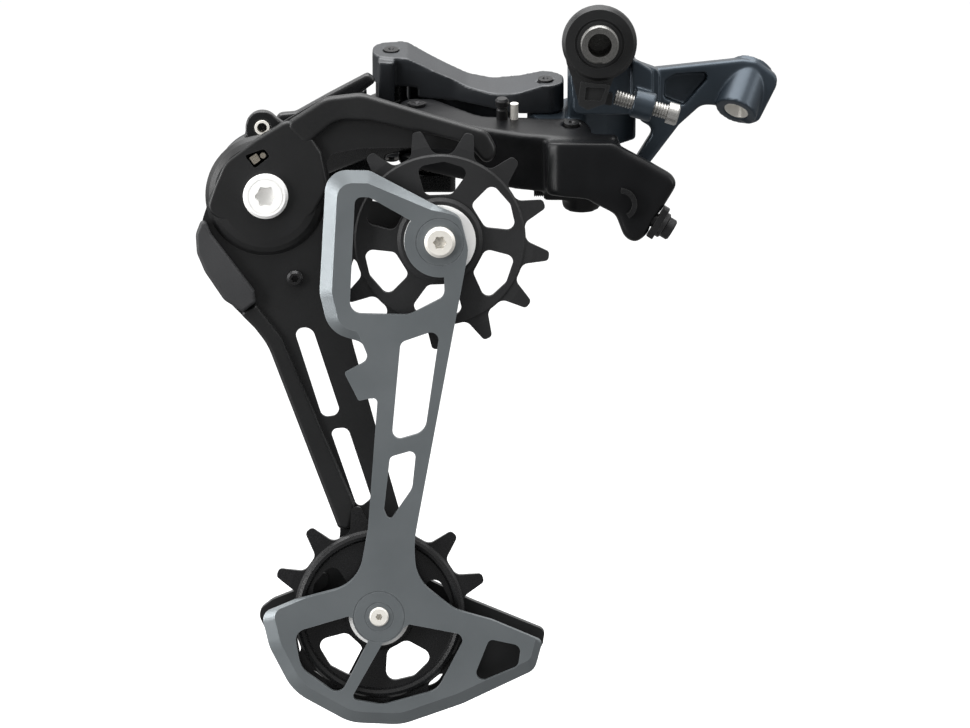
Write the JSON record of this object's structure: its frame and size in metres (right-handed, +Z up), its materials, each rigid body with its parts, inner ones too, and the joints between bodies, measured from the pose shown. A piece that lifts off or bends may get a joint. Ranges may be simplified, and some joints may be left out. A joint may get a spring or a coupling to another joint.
{
  "type": "rear bicycle derailleur",
  "caption": "Long-cage rear bicycle derailleur: hanger bracket, slanted parallelogram, front knuckle with clutch, and a sprung cage with guide and tension pulleys.",
  "frame": {"origin": "hanger bolt axis at the hanger contact face", "axes": "+X to the rear of the bicycle, +Y outboard away from the wheel, +Z up"},
  "size_m": [0.1534, 0.0709, 0.1881],
  "materials": {
    "steel": "machined satin",
    "black_coat": "satin black coating",
    "black_steel": "black oxide",
    "spring_steel": "oiled spring steel",
    "slate_blue": "slate blue anodised satin",
    "zinc": "bright zinc plated",
    "pin_black": "black oxide, polished end",
    "satin_black": "satin black paint",
    "blue_black": "dark blue grey satin paint",
    "seal_rubber": "soft matt",
    "cage_grey": "grey anodised, fine grain",
    "pad_black": "matt",
    "brass_wire": "cut spring end",
    "pulley_resin": "matt resin",
    "pulley_gloss": "semi-gloss resin"
  },
  "bodies": {
    "hanger_end": {"hanger_bolt": "steel", "stop_plate": "black_coat", "washer_disc": "black_steel", "hanger_sleeve": "black_steel"},
    "bracket": {"bracket_body": "slate_blue", "cable_ferrule": "steel", "hanger_spring": "spring_steel", "pin_bracket_inner": "pin_black", "pin_bracket_outer": "pin_black", "circlip_bracket_outer": "spring_steel"},
    "tension_screw": {"b_screw": "zinc"},
    "link_inner": {"inner_link": "satin_black", "limit_screws": "black_steel", "clamp_bolt": "black_steel", "clamp_plate": "black_steel", "cable_guide": "steel", "spring_post": "black_steel", "spring_pin": "steel"},
    "link_outer": {"outer_link": "blue_black"},
    "knuckle": {"knuckle_body": "satin_black", "ear_bushing": "steel", "knuckle_seal": "seal_rubber", "axle_nut": "zinc", "clutch_ring": "steel", "friction_band": "spring_steel", "band_clamp": "black_steel", "clutch_cover": "blue_black", "cover_gasket": "seal_rubber", "cover_screws": "zinc", "return_spring": "spring_steel", "pin_knuckle_inner": "pin_black", "pin_knuckle_outer": "pin_black", "circlip_knuckle_outer": "spring_steel"},
    "lever": {"clutch_lever": "black_coat"},
    "cage": {"cage_axle": "zinc", "cage_spring": "spring_steel", "inner_cage_plate": "cage_grey", "outer_cage_plate": "black_coat", "side_pad": "pad_black", "spring_end": "brass_wire", "stop_pin": "black_steel", "guide_bush": "steel", "tension_bush": "steel", "guide_caps": "steel", "tension_caps": "steel", "guide_bolt": "steel", "tension_bolt": "steel"},
    "upper_pulley": {"guide_pulley": "pulley_resin"},
    "lower_pulley": {"tension_pulley": "pulley_gloss"}
  },
  "joints": [
    {"name": "bracket_pivot", "type": "hinge", "parent": "hanger_end", "child": "bracket", "pos_m": [0, 0, 0], "axis": [0, -1, 0], "range_deg": [0, 20]},
    {"name": "tension_screw_slide", "type": "slide", "parent": "bracket", "child": "tension_screw", "axis": [0.96, 0, -0.28], "range_m": [0, 0.005]},
    {"name": "inner_link_pivot", "type": "hinge", "parent": "bracket", "child": "link_inner", "pos_m": [-0.0072, 0.01222, -0.02972], "axis": [0, -0.2924, 0.9563], "range_deg": [0, 50]},
    {"name": "outer_link_pivot", "type": "hinge", "parent": "bracket", "child": "link_outer", "pos_m": [-0.0141, 0.02723, -0.02409], "axis": [0, -0.2924, 0.9563], "range_deg": [0, 50], "stiffness_Nm_per_rad": 0.25, "springref_deg": -68.75},
    {"name": "knuckle_pivot", "type": "hinge", "parent": "link_outer", "child": "knuckle", "pos_m": [-0.0551, 0.04033, -0.01904], "axis": [0, -0.2924, 0.9563], "range_deg": [-50, 0]},
    {"name": "clutch_lever_turn", "type": "hinge", "parent": "knuckle", "child": "lever", "pos_m": [-0.0876, 0.03, -0.0462], "axis": [0, 1, 0], "range_deg": [0, 75]},
    {"name": "cage_pivot", "type": "hinge", "parent": "knuckle", "child": "cage", "pos_m": [-0.0876, -0.007, -0.0392], "axis": [0, 1, 0], "range_deg": [0, 95], "stiffness_Nm_per_rad": 0.25, "springref_deg": -114.59},
    {"name": "guide_pulley_spin", "type": "hinge", "parent": "cage", "child": "upper_pulley", "pos_m": [-0.0419, -0.012, -0.0504], "axis": [0, 1, 0], "continuous": true},
    {"name": "tension_pulley_spin", "type": "hinge", "parent": "cage", "child": "lower_pulley", "pos_m": [-0.0579, -0.012, -0.1493], "axis": [0, 1, 0], "continuous": true}
  ],
  "couplings": [
    {"joint": "inner_link_pivot", "follows": "outer_link_pivot", "ratio": 1},
    {"joint": "knuckle_pivot", "follows": "outer_link_pivot", "ratio": -1}
  ]
}
